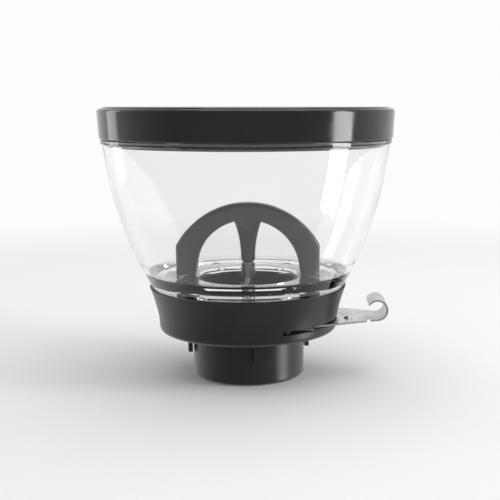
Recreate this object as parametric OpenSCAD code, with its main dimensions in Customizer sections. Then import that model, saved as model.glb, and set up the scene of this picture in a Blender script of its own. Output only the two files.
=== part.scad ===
// Bean hopper of a coffee grinder: clear bowl with a plug-in lid and a finger
// guard, on a black base with a neck and a pull-out steel shutter.
// Origin: centre of the neck's lower rim. +X: the side where the shutter comes
// out. Shown with the shutter pushed in.

/* [Neck] */
// Outer diameter of the neck that plugs into the grinder
neck_d = 66; // [60:0.5:70]
// Wall thickness of the neck
neck_wall = 3.2; // [2.4:0.1:4]
// Length of the neck below the base
neck_len = 27.6; // [20:0.2:40]
// Rounding of the neck's lower rim
neck_round = 2.2; // [1:0.1:3]

/* [Locating fingers round the neck] */
// Distance the fingers hang below the base
finger_len = 13; // [6:0.5:18]
// Width of a finger along the rim
finger_w = 6; // [4:0.5:9]
// Thickness of a finger
finger_t = 2.4; // [1.6:0.1:3]
// Free gap between a finger and the neck
finger_gap = 1.1; // [0.6:0.1:2]
// Turn of the first finger from the shutter's side, in degrees
finger_turn = 12; // [0:1:40]

/* [Base] */
// Height of the base from its underside to its top edge
base_h = 26.4; // [24:0.2:34]
// Diameter of the base's top edge
base_top_d = 116.2; // [114:0.2:118]
// Diameter of the base at the shutter slot
base_waist_d = 106; // [104:0.2:110]
// Radius of the hollow flare up to the top edge
base_flare_r = 110; // [80:1:160]
// Wall thickness of the base
base_wall = 2.6; // [2:0.1:3]
// Rounding of the lower edge
base_round = 3; // [1.5:0.1:4]
// How far the side tapers in below the slot
base_draft = 0.6; // [0:0.1:1]

/* [Shutter pocket] */
// Thickness of the sole under the shutter
sole_t = 5.8; // [5:0.2:8]
// Height of the shutter pocket and its slot
slot_h = 2.4; // [2:0.1:3]
// Thickness of the roof plate over the shutter
roof_t = 2.4; // [1.8:0.1:3]
// Chord width of the slot in the side of the base
slot_w = 96.8; // [90:0.4:99]
// Depth of the hollows in the underside of the sole
core_depth = 3; // [1:0.2:3.6]
// Thickness of the ribs between those hollows
rib_t = 1.8; // [1.2:0.1:3]
// Number of those ribs
rib_n = 8; // [4:1:16]

/* [Shutter] */
// Sheet thickness of the shutter
sheet_t = 1; // [0.8:0.1:1.2]
// Width of the blade that closes the throat
blade_w = 71.6; // [68:0.2:74]
// Distance from the throat's axis to the blade's shoulders
shoulder_x = 38.8; // [36:0.2:42]
// Width of the tongue where it leaves the shoulders
tongue_root_w = 59; // [44:1:64]
// Width of the tongue before its rounded end
tongue_tip_w = 29; // [26:0.5:36]
// Distance from the throat's axis to the tongue's rounded end
tongue_tip_x = 72; // [66:0.5:80]
// Width of the rolled finger pull
pull_w = 24; // [18:0.5:26]
// Outer diameter of the rolled finger pull
pull_d = 12.6; // [10:0.2:15]
// Distance from the tongue's end to the axis of the roll
pull_gap = 4.45; // [3:0.05:8]
// Angle through which the pull is rolled, in degrees
pull_angle = 238; // [180:2:270]
// Diameter of the pressed stop dimple
dimple_d = 5.6; // [4:0.2:7]
// Height of the stop dimple above the sheet
dimple_h = 1.3; // [0.8:0.1:1.6]
// Distance from the throat's axis to the dimple
dimple_x = 59.3; // [58.5:0.1:64]
// Distance from the tongue's centre line to the dimple
dimple_y = 8; // [0:0.5:12]

/* [Throat] */
// Wall thickness of the throat between the shutter and the bowl
throat_wall = 2.2; // [1.6:0.1:3]
// Widening of the throat at its upper edge
throat_flare = 1.2; // [0.5:0.1:1.6]

/* [Bowl] */
// Height of the bowl from the base's top edge to its rim
bowl_h = 86; // [70:1:110]
// Outer diameter of the bowl just below its rim
bowl_top_d = 166.8; // [160:0.2:176]
// Outer diameter of the bowl's foot, where it stands on the base
bowl_foot_d = 113.4; // [113:0.1:114]
// Radius of the bowl's side, seen in section
bowl_side_r = 217; // [190:1:400]
// Wall thickness of the bowl
bowl_wall = 2.4; // [2:0.1:3]
// How far the rim bead stands out
bead_t = 0.9; // [0.4:0.1:1.4]
// Height of the rim bead
bead_h = 3; // [2:0.2:5]
// Thickness of the bowl's floor
floor_t = 3; // [2.4:0.1:4]
// Height of the floor above the base's top edge
floor_rise = 5.3; // [4.6:0.1:8]
// Diameter of the floor's flat middle
floor_flat_d = 90; // [88:1:96]
// Slope of the floor outside its flat middle, in degrees
floor_slope = 13; // [6:1:20]
// Inside rounding between the floor and the side
floor_round = 4; // [2:0.5:6]
// Diameter of the outlet in the floor
outlet_d = 62; // [60:0.5:63]
// How far the bowl's spigot reaches down into the base
spigot_h = 5; // [3:0.2:6]
// Wall thickness of the spigot
spigot_wall = 2; // [1.6:0.1:2.6]
// Width of the locating keys under the bowl's edge
key_w = 3.4; // [2.5:0.1:5]
// Depth of the locating keys
key_h = 1.2; // [0.8:0.1:1.6]
// Bearing of the first key, in degrees from the shutter's side
key_turn = 133; // [100:1:150]

/* [Guard boss and bridge] */
// Thickness of the bridge across the outlet
bridge_t = 3; // [2:0.2:4]
// Height of the bridge
bridge_h = 5; // [4:0.2:6]
// How far the bridge lies below the floor's surface
bridge_drop = 1.6; // [0.5:0.1:2.5]
// Height of the boss above the floor
boss_h = 7.7; // [6:0.1:10]
// Diameter of the boss at its top
boss_top_d = 7.8; // [7.4:0.1:9]
// Diameter of the boss at its foot
boss_foot_d = 9.4; // [9:0.1:11]
// Diameter of the cone that takes the guard's tip, at the top
socket_d = 6.6; // [6:0.1:7]

/* [Finger guard] */
// Radius of the guard's outer arch
arch_r = 48.5; // [46:0.5:54]
// Height of the arch's top above the floor
arch_h = 43.2; // [38:0.2:50]
// Radius of the guard's inner arch
arch_in_r = 30.6; // [28:0.2:33]
// Height of the inner arch's centre above the floor
arch_in_rise = 3; // [1:0.2:6]
// Span over the outside of the two legs
guard_span = 85; // [82:0.5:88]
// Thickness of the guard from front to back
guard_t = 13; // [10:0.5:16]
// Rounding of the guard's outer edges
guard_round = 3; // [1.5:0.25:4]
// Radius of the middle post at its tip
post_tip_r = 4.2; // [3.8:0.1:5]
// Radius of the middle post where it meets the arch
post_top_r = 8.6; // [7:0.1:10]
// Radius of the post's hollow flare
post_flare_r = 62; // [50:1:120]

/* [Guard screw] */
// Diameter of the guard's screw
guard_screw_d = 4; // [3.5:0.1:4.2]
// Length of the guard's screw under its head
guard_screw_len = 28; // [22:1:32]
// Diameter of the guard screw's head
guard_head_d = 8; // [7:0.2:8.4]
// Height of the guard screw's head
guard_head_h = 2.6; // [2:0.1:3]

/* [Base screws] */
// Diameter of the screws that hold the bowl down
base_screw_d = 3; // [2.6:0.1:3.4]
// Length of those screws under their heads
base_screw_len = 24; // [20:0.5:25]
// Head diameter of those screws
base_head_d = 5.8; // [5:0.1:6.2]
// Head height of those screws
base_head_h = 2.2; // [1.8:0.1:2.4]
// Distance of those screws from the throat's axis
base_screw_r = 45.4; // [45.2:0.1:46]
// Bearing of those screws from the shutter's side, in degrees
base_screw_turn = 61; // [60:1:64]
// Wall round each screw
boss_wall = 1.9; // [1.6:0.1:2]

/* [Lid] */
// Height of the lid's rim band
lid_h = 17.1; // [12:0.1:24]
// How far the lid's band stands out past the bowl's side
lid_over = 1.5; // [1.2:0.1:3]
// How much wider the lid is at its upper edge
lid_flare = 2; // [0:0.1:3]
// Wall thickness of the lid
lid_wall = 2.4; // [2:0.1:3]
// Rounding of the lid's upper edge
lid_round = 2; // [1:0.1:2.4]
// Width of the lid's step round the raised panel
lid_step_w = 3.6; // [2.6:0.1:6]
// Height of the raised panel
lid_panel_h = 0.7; // [0.3:0.1:1.2]
// How far the inner skirt reaches below the lid's band
skirt_drop = 4.2; // [3:0.1:6]
// Wall thickness of the skirt
skirt_wall = 2; // [1.6:0.1:2.4]
// Number of crush ribs round the skirt
crush_n = 4; // [3:1:8]
// Bearing of the first crush rib, in degrees
crush_turn = 65; // [0:1:90]

/* [Fits] */
// Gap between pieces that sit on each other
seat_gap = 0.2; // [0.1:0.05:0.3]
// Gap round pieces that plug into each other
plug_gap = 0.3; // [0.2:0.05:0.4]
// Gap round the shutter in its pocket
slide_gap = 0.3; // [0.25:0.05:0.4]
// Gap at the shutter's edges
edge_gap = 0.4; // [0.3:0.05:0.6]
// Gap round a screw in its hole
screw_gap = 0.1; // [0.05:0.05:0.2]

/* [Hidden] */
$fn = 96;
far = 200;
cut = 0.01;

// Heights
sole_z = neck_len;
track_z = sole_z + sole_t;
slot_top_z = track_z + slot_h;
roof_z = slot_top_z + roof_t;
base_z = sole_z + base_h;
foot_z = base_z + seat_gap;
floor_z = foot_z + floor_rise;
floor_low_z = floor_z - floor_t;
rim_z = foot_z + bowl_h;
spigot_z = foot_z - spigot_h;
ledge_z = spigot_z - plug_gap;
sheet_z = track_z + slide_gap;
lid_z = rim_z + plug_gap;
lid_top_z = lid_z + lid_h;

// Radii
neck_r = neck_d / 2;
bore_r = neck_r - neck_wall;
throat_r = bore_r + throat_wall;
waist_r = base_waist_d / 2;
low_r = waist_r - base_draft;
base_top_r = base_top_d / 2;
outlet_r = outlet_d / 2;
seat_r = base_top_r - 1.4 * base_wall;
spigot_r = seat_r - plug_gap;
foot_r = bowl_foot_d / 2;
bowl_top_r = bowl_top_d / 2;
flat_r = floor_flat_d / 2;
blade_r = blade_w / 2;
pocket_r = blade_r + edge_gap;
slot_half = slot_w / 2;
slot_x = sqrt(waist_r * waist_r - slot_half * slot_half);
lid_r = bowl_top_r + lid_over;
lid_top_r = lid_r + lid_flare / 2;
band_in_r = lid_r - lid_wall;
pull_r = pull_d / 2;
pull_x = tongue_tip_x + pull_gap;
pull_z = sheet_z + pull_r;
finger_in_r = neck_r + finger_gap;
boss_r = base_screw_d / 2 + screw_gap + boss_wall;
head_seat_z = sole_z + base_head_h + seat_gap;
boss_meet_z = spigot_z - seat_gap;
bridge_top_z = floor_z - bridge_drop;
bridge_low_z = bridge_top_z - bridge_h;
boss_top_z = floor_z + boss_h;
socket_low_r = guard_screw_d / 2 + 2 * screw_gap;
post_tip_z = boss_top_z + seat_gap;
post_in_top_z = floor_z + arch_in_rise + arch_in_r;
arch_z = floor_z + arch_h - arch_r;
guard_z = floor_z + seat_gap;

// Centre of the arc of radius r that joins points a and b; side is 1 to have
// it left of the way from a to b, or -1 to have it right
function arc_centre(a, b, r, side) =
    let (d = b - a, l = norm(d), m = (a + b) / 2, h = sqrt(r * r - l * l / 4))
    m + side * h * [-d[1], d[0]] / l;

// n + 1 points on that arc, from a to b
function arc(a, b, r, side, n) =
    let (c = arc_centre(a, b, r, side),
         s = atan2(a[1] - c[1], a[0] - c[0]),
         e = atan2(b[1] - c[1], b[0] - c[0]),
         t = e - s, turn = t > 180 ? t - 360 : t < -180 ? t + 360 : t)
    [for (i = [0:n]) c + r * [cos(s + turn * i / n), sin(s + turn * i / n)]];

// n + 1 points that round the corner p between directions to a and to b
function corner(a, p, b, r, n) =
    let (u = (a - p) / norm(a - p), v = (b - p) / norm(b - p),
         half = acos(u * v) / 2, k = r / tan(half),
         w = (u + v) / norm(u + v), c = p + w * r / sin(half),
         p0 = p + u * k - c, p1 = p + v * k - c,
         s = atan2(p0[1], p0[0]), t = atan2(p1[1], p1[0]) - s,
         turn = t > 180 ? t - 360 : t < -180 ? t + 360 : t)
    [for (i = [0:n]) c + r * [cos(s + turn * i / n), sin(s + turn * i / n)]];

// Outer side of the bowl in section, from its foot to its rim
bowl_side = arc([foot_r, foot_z], [bowl_top_r, rim_z], bowl_side_r, 1, 24);
bowl_c = arc_centre([foot_r, foot_z], [bowl_top_r, rim_z], bowl_side_r, 1);
function side_r(z, t) = bowl_c[0] + sqrt(pow(bowl_side_r - t, 2) - pow(z - bowl_c[1], 2));
// Height at which the sloping floor meets the inside of the bowl
wall_in_r = side_r(floor_z + 4, bowl_wall);
corner_z = floor_z + (wall_in_r - flat_r) * tan(floor_slope);
corner_r = side_r(corner_z, bowl_wall);
skirt_r = side_r(lid_z - skirt_drop, bowl_wall) - plug_gap;

module ring(r1, r2, z1, z2) {
    translate([0, 0, z1]) difference() {
        cylinder(r = r2, h = z2 - z1);
        translate([0, 0, -1]) cylinder(r = r1, h = z2 - z1 + 2);
    }
}

module screw_places() {
    for (a = [base_screw_turn, 180 - base_screw_turn, 180 + base_screw_turn, -base_screw_turn])
        rotate([0, 0, a]) translate([base_screw_r, 0, 0]) children();
}

// Keys under the bowl's edge, or the notches for them when grown by gap
module keys(gap) {
    for (k = [0:3]) rotate([0, 0, key_turn + 90 * k])
        translate([spigot_r - 0.5, -key_w / 2 - gap, foot_z - key_h - gap])
            cube([foot_r - spigot_r + gap, key_w + 2 * gap, key_h + gap + 0.5]);
}

module base_outside() {
    rotate_extrude() polygon(concat(
        [[0, sole_z]],
        corner([0, sole_z], [low_r, sole_z], [waist_r, slot_top_z], base_round, 6),
        arc([waist_r, slot_top_z], [base_top_r, base_z], base_flare_r, -1, 14),
        [[0, base_z]]));
}

module neck_outside() {
    rotate_extrude() polygon(concat(
        [[0, 0]],
        corner([0, 0], [neck_r, 0], [neck_r, sole_z], neck_round, 6),
        [[neck_r, sole_z + 1], [0, sole_z + 1]]));
}

// Room inside the base above the roof plate
module base_well() {
    well_r = waist_r - base_wall;
    difference() {
        union() {
            translate([0, 0, roof_z]) cylinder(r1 = well_r, r2 = seat_r - 1.2, h = ledge_z - roof_z);
            translate([0, 0, ledge_z - cut]) cylinder(r = seat_r, h = far);
        }
        cylinder(r = throat_r, h = floor_low_z - seat_gap);
        screw_places() cylinder(r = boss_r, h = boss_meet_z - seat_gap);
    }
}

// Flat outline of the shutter pocket: a round-ended channel for the blade that
// opens into the wide slot
module pocket_outline() {
    circle(r = pocket_r);
    translate([0, -pocket_r]) square([far, 2 * pocket_r]);
    difference() {
        translate([slot_x, -slot_half]) square([far, slot_w]);
        for (s = [-1, 1]) rotate(s * base_screw_turn) translate([base_screw_r, 0]) circle(r = boss_r);
    }
}

// Hollows that lighten the sole from below, between ribs and screw bosses
module sole_cores() {
    core_in = finger_in_r + finger_t + 1.4;
    core_out = low_r - base_round - 1.6;
    difference() {
        ring(core_in, core_out, sole_z - 1, sole_z + core_depth);
        for (k = [0:rib_n - 1]) rotate([0, 0, 360 * (k + 0.5) / rib_n])
            translate([0, -rib_t / 2, 0]) cube([far, rib_t, base_z]);
        screw_places() cylinder(r = base_head_d / 2 + boss_wall, h = base_z);
    }
}

module finger() {
    root = 1;
    intersection() {
        ring(finger_in_r, finger_in_r + finger_t, sole_z - finger_len, sole_z + root);
        translate([0, -finger_w / 2, 0]) cube([far, finger_w, base_z]);
    }
}

module base() {
    color([0.11, 0.11, 0.12]) union() {
        difference() {
            union() {
                base_outside();
                neck_outside();
                translate([0, 0, base_z - cut])
                    cylinder(r = throat_r, h = floor_low_z - seat_gap - base_z + cut);
            }
            base_well();
            translate([0, 0, -1]) cylinder(r = bore_r, h = far);
            translate([0, 0, floor_low_z - seat_gap - throat_flare])
                cylinder(r1 = bore_r, r2 = bore_r + throat_flare + cut, h = throat_flare + cut);
            translate([0, 0, track_z]) linear_extrude(slot_h) pocket_outline();
            sole_cores();
            keys(seat_gap);
            screw_places() {
                translate([0, 0, sole_z - 1]) cylinder(d = base_head_d + 0.6, h = head_seat_z - sole_z + 1);
                cylinder(d = base_screw_d + 2 * screw_gap, h = far);
            }
        }
        for (k = [0:3]) rotate([0, 0, finger_turn + 90 * k]) finger();
    }
}

module shutter() {
    tip = tongue_tip_w / 2;
    root = tongue_root_w / 2;
    half = pull_w / 2;
    color([0.78, 0.78, 0.77]) union() {
        difference() {
            translate([0, 0, sheet_z]) linear_extrude(sheet_t) {
                circle(r = blade_r);
                translate([0, -blade_r]) square([shoulder_x, blade_w]);
                polygon([[shoulder_x - 1, root], [tongue_tip_x - 1.4, tip], [tongue_tip_x, tip - 0.9],
                    [pull_x, half], [pull_x, -half], [tongue_tip_x, 0.9 - tip],
                    [tongue_tip_x - 1.4, -tip], [shoulder_x - 1, -root]]);
            }
            translate([dimple_x, -dimple_y, sheet_z - cut]) cylinder(d = dimple_d - 0.2, h = far);
        }
        translate([dimple_x, -dimple_y, sheet_z]) dimple();
        translate([pull_x, 0, pull_z]) rotate([90, 0, 0]) rotate([0, 0, -90])
            rotate_extrude(angle = pull_angle)
                translate([pull_r - sheet_t, -half]) square([sheet_t, pull_w]);
    }
}

// Pressed dimple: the sheet is raised in a low dome
module dimple() {
    r = dimple_d / 2;
    dome_r = (r * r + dimple_h * dimple_h) / (2 * dimple_h);
    in_r = r - sheet_t * 0.8;
    top = arc([r, sheet_t], [cut, sheet_t + dimple_h], dome_r, 1, 6);
    low = arc([cut, dimple_h], [in_r, 0], (in_r * in_r + dimple_h * dimple_h) / (2 * dimple_h), -1, 6);
    rotate_extrude($fn = 48) polygon(concat([[r, 0]], top, [[0, sheet_t + dimple_h], [0, dimple_h]], low));
}

module bowl_shell() {
    in_side = [for (p = bowl_side) if (p[1] > corner_z + 1.4 * floor_round && p[1] < rim_z - 2)
        [side_r(p[1], bowl_wall), p[1]]];
    top_in = [side_r(rim_z, bowl_wall), rim_z];
    bead = [bowl_top_r + bead_t, rim_z];
    rotate_extrude() polygon(concat(
        [for (p = bowl_side) if (p[1] < rim_z - bead_h - 0.8) p],
        [[side_r(rim_z - bead_h, 0), rim_z - bead_h], [bead[0], rim_z - bead_h + 0.7]],
        corner([bead[0], rim_z - bead_h], bead, top_in, 0.6, 4),
        corner(bead, top_in, in_side[len(in_side) - 1], 0.6, 4),
        [for (i = [len(in_side) - 1:-1:0]) in_side[i]],
        corner(in_side[0], [corner_r, corner_z], [flat_r, floor_z], floor_round, 6),
        [[flat_r, floor_z], [outlet_r, floor_z], [outlet_r, floor_low_z],
         [flat_r, floor_low_z],
         [spigot_r - spigot_wall, floor_low_z + (spigot_r - spigot_wall - flat_r) * tan(floor_slope)],
         [spigot_r - spigot_wall, spigot_z], [spigot_r - 0.4, spigot_z], [spigot_r, spigot_z + 0.4],
         [spigot_r, foot_z]]));
}

module bowl() {
    color([0.86, 0.9, 0.92, 0.35]) union() {
        bowl_shell();
        keys(0);
        difference() {
            union() {
                intersection() {
                    translate([-bridge_t / 2, -outlet_r - 1, bridge_low_z])
                        cube([bridge_t, 2 * outlet_r + 2, bridge_h]);
                    cylinder(r = outlet_r + 1, h = far);
                    difference() {
                        cylinder(r = outlet_r + 1, h = far);
                        ring(outlet_r - 1.6, far, 0, floor_low_z + cut);
                    }
                }
                translate([0, 0, bridge_low_z])
                    cylinder(d1 = boss_foot_d, d2 = boss_top_d, h = boss_top_z - bridge_low_z);
            }
            translate([0, 0, floor_z])
                cylinder(r1 = socket_low_r, r2 = socket_d / 2, h = boss_h + cut);
            cylinder(r = socket_low_r, h = far);
        }
        screw_places() difference() {
            translate([0, 0, boss_meet_z]) cylinder(r = boss_r, h = floor_low_z + 1 - boss_meet_z);
            cylinder(d = base_screw_d + 2 * screw_gap, h = floor_low_z - 0.6);
        }
    }
}

module base_screws() {
    color([0.72, 0.73, 0.75]) screw_places() {
        difference() {
            translate([0, 0, head_seat_z - base_head_h - seat_gap / 2])
                cylinder(d = base_head_d, h = base_head_h);
            cross_slot(head_seat_z - base_head_h - seat_gap / 2, 0.6 * base_head_d);
        }
        translate([0, 0, head_seat_z - seat_gap])
            cylinder(d = base_screw_d, h = base_screw_len);
    }
}

// Cross recess cut up into a screw head from below
module cross_slot(z, w) {
    for (a = [0, 90]) rotate([0, 0, a]) translate([-w / 2, -0.45, z - 1]) cube([w, 0.9, 2.3]);
}

module guard_arch() {
    half = guard_t / 2;
    intersection() {
        // Disc with rounded rims, turned to stand across the bowl
        translate([0, 0, arch_z]) rotate([90, 0, 0]) rotate_extrude($fn = 128) polygon(concat(
            [[0, -half]],
            corner([0, -half], [arch_r, -half], [arch_r, half], guard_round, 5),
            corner([arch_r, -half], [arch_r, half], [0, half], guard_round, 5),
            [[0, half]]));
        // Legs with rounded outer edges
        translate([0, 0, guard_z]) linear_extrude(arch_h) {
            translate([guard_round - guard_span / 2, -half])
                square([guard_span - 2 * guard_round, guard_t]);
            translate([-guard_span / 2, guard_round - half])
                square([guard_span, guard_t - 2 * guard_round]);
            for (x = [-1, 1], y = [-1, 1])
                translate([x * (guard_span / 2 - guard_round), y * (half - guard_round)])
                    circle(r = guard_round, $fn = 32);
        }
    }
}

module guard_post() {
    flare = arc([post_tip_r, post_tip_z + 1.6], [post_top_r, post_in_top_z], post_flare_r, -1, 10);
    intersection() {
        rotate_extrude() polygon(concat(
            [[0, post_tip_z], [post_tip_r - 1.3, post_tip_z]], flare,
            [[post_top_r, post_in_top_z + 5], [0, post_in_top_z + 5]]));
        translate([-far / 2, -guard_t / 2, 0]) cube([far, guard_t, far]);
    }
}

module finger_guard() {
    hole_h = guard_screw_len + bridge_low_z - post_tip_z + 1;
    color([0.2, 0.2, 0.22]) difference() {
        union() {
            difference() {
                guard_arch();
                translate([0, far / 2, floor_z + arch_in_rise]) rotate([90, 0, 0])
                    cylinder(r = arch_in_r, h = far);
                translate([-arch_in_r - 0.6, -far / 2, floor_z - 1])
                    cube([2 * arch_in_r + 1.2, far, arch_in_rise + 1]);
            }
            guard_post();
        }
        translate([0, 0, post_tip_z - 1])
            cylinder(d = guard_screw_d + 2 * screw_gap, h = hole_h + 1);
    }
}

module guard_screw() {
    head_z = bridge_low_z - seat_gap - guard_head_h;
    color([0.75, 0.76, 0.78]) union() {
        difference() {
            translate([0, 0, head_z]) cylinder(d = guard_head_d, h = guard_head_h);
            cross_slot(head_z, 0.6 * guard_head_d);
        }
        translate([0, 0, head_z + guard_head_h - cut])
            cylinder(d = guard_screw_d, h = guard_screw_len + cut);
    }
}

module lid() {
    in_top_z = lid_top_z - lid_wall;
    skirt_z = lid_z - skirt_drop;
    panel_r = lid_top_r - lid_step_w;
    color([0.13, 0.13, 0.15]) union() {
        rotate_extrude() polygon(concat(
            [[0, in_top_z], [skirt_r - skirt_wall, in_top_z], [skirt_r - skirt_wall, skirt_z],
             [skirt_r - 0.5, skirt_z], [skirt_r, skirt_z + 0.8], [skirt_r, in_top_z],
             [band_in_r, in_top_z], [band_in_r, lid_z], [lid_r - 0.4, lid_z], [lid_r, lid_z + 0.4]],
            corner([lid_r, lid_z], [lid_top_r, lid_top_z], [0, lid_top_z], lid_round, 6),
            [[panel_r + 0.5, lid_top_z], [panel_r, lid_top_z + lid_panel_h],
             [0, lid_top_z + lid_panel_h]]));
        for (k = [0:crush_n - 1]) rotate([0, 0, crush_turn + 360 * k / crush_n])
            translate([skirt_r - 0.5, -0.5, skirt_z + 0.8])
                cube([0.5 + plug_gap / 2, 1, in_top_z - skirt_z - 0.8]);
    }
}

base();
shutter();
bowl();
base_screws();
finger_guard();
guard_screw();
lid();
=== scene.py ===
import math

import bpy
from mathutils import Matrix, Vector

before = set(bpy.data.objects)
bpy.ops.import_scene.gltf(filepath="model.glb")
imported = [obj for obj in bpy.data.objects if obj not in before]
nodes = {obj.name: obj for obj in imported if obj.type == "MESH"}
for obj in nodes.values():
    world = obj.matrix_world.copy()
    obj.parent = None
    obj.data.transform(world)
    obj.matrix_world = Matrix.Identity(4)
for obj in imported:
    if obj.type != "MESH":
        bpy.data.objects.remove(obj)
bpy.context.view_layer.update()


# Base: one moulding in black plastic, with the neck, the pocket of the shutter
# and the seat of the bowl. Its outside has a fine spark-eroded texture and
# faint blotches of wear.
base_black = (0.0105, 0.0100, 0.0105, 1)
base_worn = (0.020, 0.019, 0.019, 1)
base_roughness = 0.34
base_grain = 0.00035
base_swirl = 0.03
base_grain_depth = 0.00002


class Value:
    """One output of a node, so that a sum in a material is written as a sum."""

    def __init__(self, finish, socket):
        self.finish = finish
        self.socket = socket

    def output(self, name):
        return Value(self.finish, self.socket.node.outputs[name])

    def maths(self, operation, first, second):
        return self.finish.node("Math", {"operation": operation}, {0: first, 1: second})

    def __add__(self, other):
        return self.maths("ADD", self, other)

    __radd__ = __add__

    def __sub__(self, other):
        return self.maths("SUBTRACT", self, other)

    def __rsub__(self, other):
        return self.maths("SUBTRACT", other, self)

    def __mul__(self, other):
        return self.maths("MULTIPLY", self, other)

    __rmul__ = __mul__

    def above(self, low, high):
        """0 below low, 1 above high, and a smooth rise between them."""
        return self.finish.node(
            "MapRange", {"interpolation_type": "SMOOTHSTEP"},
            {"Value": self, "From Min": low, "From Max": high})


class Finish:
    """A material that is being wired."""

    def __init__(self, name, holder=None):
        self.holder = holder or bpy.data.materials.new(name)
        self.holder.use_nodes = True
        self.tree = self.holder.node_tree
        self.tree.nodes.clear()

    def node(self, kind, settings, inputs):
        new = self.tree.nodes.new("ShaderNode" + kind)
        for name, setting in settings.items():
            setattr(new, name, setting)
        for name, given in inputs.items():
            if isinstance(given, Value):
                self.tree.links.new(given.socket, new.inputs[name])
            else:
                new.inputs[name].default_value = given
        return Value(self, new.outputs[0] if new.outputs else None)

    def place(self):
        return self.node("TexCoord", {}, {}).output("Object")

    def noise(self, size, detail=2.0, stretch=(1, 1, 1)):
        """Noise from 0 to 1 whose blotches are about size metres across."""
        scaled = self.node("Mapping", {}, {"Vector": self.place(), "Scale": stretch})
        return self.node("TexNoise", {}, {"Vector": scaled, "Scale": 1 / size, "Detail": detail})

    def blend(self, factor, first, second):
        """first where factor is 0, and second where it is 1."""
        mix = self.node("Mix", {"data_type": "RGBA"}, {"Factor": factor})
        for socket, colour in ((6, first), (7, second)):
            if isinstance(colour, Value):
                self.tree.links.new(colour.socket, mix.socket.node.inputs[socket])
            else:
                mix.socket.node.inputs[socket].default_value = colour
        return Value(self, mix.socket.node.outputs[2])

    def bump(self, height, depth, strength=1.0):
        return self.node("Bump", {}, {"Height": height, "Distance": depth, "Strength": strength})

    def close(self, shader, output="OutputMaterial"):
        self.node(output, {}, {"Surface": shader})
        return self.holder


def dress(piece, material):
    """Gives a piece one material in every slot."""
    piece.data.materials.clear()
    piece.data.materials.append(material)


def moulded_plastic(name, dark, light, roughness, grain, swirl, depth):
    """Opaque moulded plastic: fine grain, and faint blotches of wear and wiping."""
    finish = Finish(name)
    blotch = finish.noise(swirl, 3.0).above(0.42, 0.75)
    speck = finish.noise(grain, 1.0)
    colour = finish.blend(blotch * 0.5 + speck * 0.25, dark, light)
    shine = roughness + blotch * 0.08 + (speck - 0.5) * 0.06
    normal = finish.bump(speck, depth, 0.5)
    return finish.close(finish.node("BsdfPrincipled", {}, {
        "Base Color": colour, "Roughness": shine, "Normal": normal, "IOR": 1.5}))


dress(nodes["base"], moulded_plastic(
    "base plastic", base_black, base_worn, base_roughness, base_grain, base_swirl,
    base_grain_depth))


# Shutter: a blade of 1 mm stainless sheet, blanked, dimpled and rolled to a
# finger pull at its end. It slides in the pocket of the base.
steel_grey = (0.60, 0.60, 0.595, 1)
steel_dull = (0.46, 0.455, 0.45, 1)
steel_line = 0.0004
steel_smear = 0.012
steel_line_depth = 0.000012


def rolled_steel(name, bright, dull):
    """Cold-rolled sheet: fine lines along its length, and faint smears."""
    finish = Finish(name)
    lines = finish.noise(steel_line, 3.0, (0.04, 1, 1))
    smear = finish.noise(steel_smear, 2.0).above(0.35, 0.7)
    colour = finish.blend(smear * 0.5 + lines * 0.3, bright, dull)
    normal = finish.bump(lines, steel_line_depth, 0.6)
    return finish.close(finish.node("BsdfPrincipled", {}, {
        "Base Color": colour, "Metallic": 1.0, "Roughness": 0.22 + smear * 0.12 + lines * 0.08,
        "Normal": normal}))


dress(nodes["shutter"], rolled_steel("shutter steel", steel_grey, steel_dull))


# Bowl: one clear moulding, polished, with the bridge and boss of the finger
# guard across its outlet. Handling has left a faint haze.
clear_tint = (0.985, 0.992, 0.995, 1)
haze = 0.02
wave = 0.03
wave_depth = 0.0002
clear_ior = 1.57


def clear_plastic(name):
    """Clear moulded plastic with faint flow waves and wiping haze."""
    finish = Finish(name)
    smear = finish.noise(haze, 3.0, (1, 1, 0.5)).above(0.5, 0.85)
    normal = finish.bump(finish.noise(wave, 1.0), wave_depth, 0.35)
    return finish.close(finish.node("BsdfPrincipled", {}, {
        "Base Color": clear_tint, "Transmission Weight": 1.0, "IOR": clear_ior,
        "Roughness": 0.01 + smear * 0.05, "Normal": normal}))


dress(nodes["bowl"], clear_plastic("clear plastic"))


# Base screws: four self-tapping screws that hold the bowl down from below.
zinc = (0.62, 0.63, 0.65, 1)
zinc_dull = (0.45, 0.46, 0.48, 1)
screw_steel = rolled_steel("screw steel", zinc, zinc_dull)
dress(nodes["base_screws"], screw_steel)


# Finger guard: an arch moulded in dark grey plastic that stands across the
# outlet and keeps fingers away from the grinder.
guard_grey = (0.030, 0.030, 0.034, 1)
guard_light = (0.050, 0.050, 0.054, 1)
guard_roughness = 0.42
guard_grain = 0.0004
guard_swirl = 0.02
guard_grain_depth = 0.00003
dress(nodes["finger_guard"], moulded_plastic(
    "guard plastic", guard_grey, guard_light, guard_roughness, guard_grain, guard_swirl,
    guard_grain_depth))


# Guard screw: it comes up through the boss of the bowl into the guard's post.
dress(nodes["guard_screw"], screw_steel)


# Lid: a black moulding, polished outside, whose skirt plugs into the bowl.
lid_black = (0.008, 0.008, 0.011, 1)
lid_dust = (0.016, 0.016, 0.020, 1)
lid_roughness = 0.10
lid_grain = 0.0005
lid_swirl = 0.035
lid_grain_depth = 0.000008
dress(nodes["lid"], moulded_plastic(
    "lid plastic", lid_black, lid_dust, lid_roughness, lid_grain, lid_swirl, lid_grain_depth))


# Studio: a pale table top, a white background, a tall soft box to the right, a
# weaker one behind on the left, and a wide one overhead.
table_white = (0.90, 0.90, 0.895, 1)
table_shade = (0.86, 0.86, 0.855, 1)
table_radius = 0.9
table_fade = 0.42
backdrop = 0.98
room_light = 0.60
room_front = 0.35
room_back = 0.95
overhead_size = 1.3
overhead_height = 1.4
overhead_radiance = 1.3
camera_lens = 69.12
camera_shift = -0.1
camera_place = (0.03086, -0.5637, 0.16059)
camera_pitch = 8.72

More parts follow.
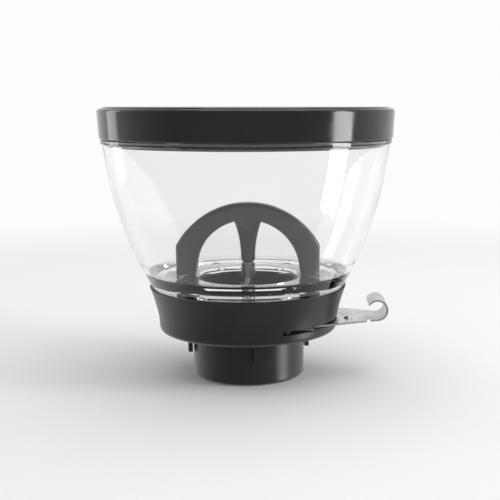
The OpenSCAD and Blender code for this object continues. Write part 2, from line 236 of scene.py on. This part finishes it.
bpy.ops.mesh.primitive_circle_add(vertices=96, radius=table_radius, fill_type="NGON")
table = bpy.context.object
table.name = "table"
table.visible_glossy = False
finish = Finish("table top")
reach = finish.node("VectorMath", {"operation": "LENGTH"}, {0: finish.place()}).output("Value")
fade = reach.above(table_fade, table_radius * 0.9)
cloud = finish.noise(0.05, 3.0)
diffuse = finish.node("BsdfDiffuse", {}, {
    "Color": finish.blend(cloud * 0.3, table_white, table_shade)})
glow = finish.node("Emission", {}, {"Strength": backdrop})
dress(table, finish.close(finish.node("MixShader", {}, {0: fade, 1: diffuse, 2: glow})))

world = bpy.data.worlds.new("studio")
bpy.context.scene.world = world
finish = Finish("studio", world)
ray = finish.node("LightPath", {}, {})
seen = ray.output("Is Camera Ray") + ray.output("Is Transmission Ray")
mirrored = ray.output("Is Glossy Ray")
direction = finish.node("SeparateXYZ", {}, {0: finish.node("TexCoord", {}, {}).output("Generated")})
room = direction.output("Y").above(-0.7, 0.6) * (room_back - room_front) + room_front
seen = finish.node("Math", {"operation": "MINIMUM"}, {0: seen, 1: 1.0})
mirrored = mirrored * (1 - seen)
strength = seen * backdrop + mirrored * room + (1 - seen) * (1 - ray.output("Is Glossy Ray")) * room_light
finish.close(finish.node("Background", {}, {"Color": (1, 1, 1, 1), "Strength": strength}), "OutputWorld")


def soft_box(name, bearing, distance, low, high, width, radiance):
    """A soft box that stands upright and faces the hopper. bearing is in degrees
    to the right of the line to the camera."""
    turn = math.radians(bearing)
    lamp = bpy.data.lights.new(name, "AREA")
    lamp.shape = "RECTANGLE"
    lamp.size = width
    lamp.size_y = high - low
    lamp.energy = radiance * math.pi * width * (high - low)
    holder = bpy.data.objects.new(name, lamp)
    bpy.context.scene.collection.objects.link(holder)
    holder.location = (distance * math.sin(turn), -distance * math.cos(turn), (low + high) / 2)
    inwards = Vector((-holder.location.x, -holder.location.y, 0))
    holder.rotation_euler = inwards.to_track_quat("-Z", "Y").to_euler()


soft_box("right soft box", 77, 1.1, -0.5, 0.75, 0.34, 10.0)
soft_box("left soft box", -116, 1.3, -0.2, 0.8, 0.34, 2.0)
overhead = bpy.data.lights.new("overhead", "AREA")
overhead.size = overhead_size
overhead.energy = overhead_radiance * math.pi * overhead_size ** 2
holder = bpy.data.objects.new("overhead", overhead)
holder.location = (0.1, 0.1, overhead_height)
bpy.context.scene.collection.objects.link(holder)

camera = bpy.data.cameras.new("camera")
camera.sensor_width = 36
camera.lens = camera_lens
camera.shift_x = camera_shift
holder = bpy.data.objects.new("camera", camera)
holder.location = camera_place
holder.rotation_euler = (math.radians(90 - camera_pitch), 0, 0)
bpy.context.scene.collection.objects.link(holder)
bpy.context.scene.camera = holder
bpy.context.scene.view_settings.view_transform = "Standard"
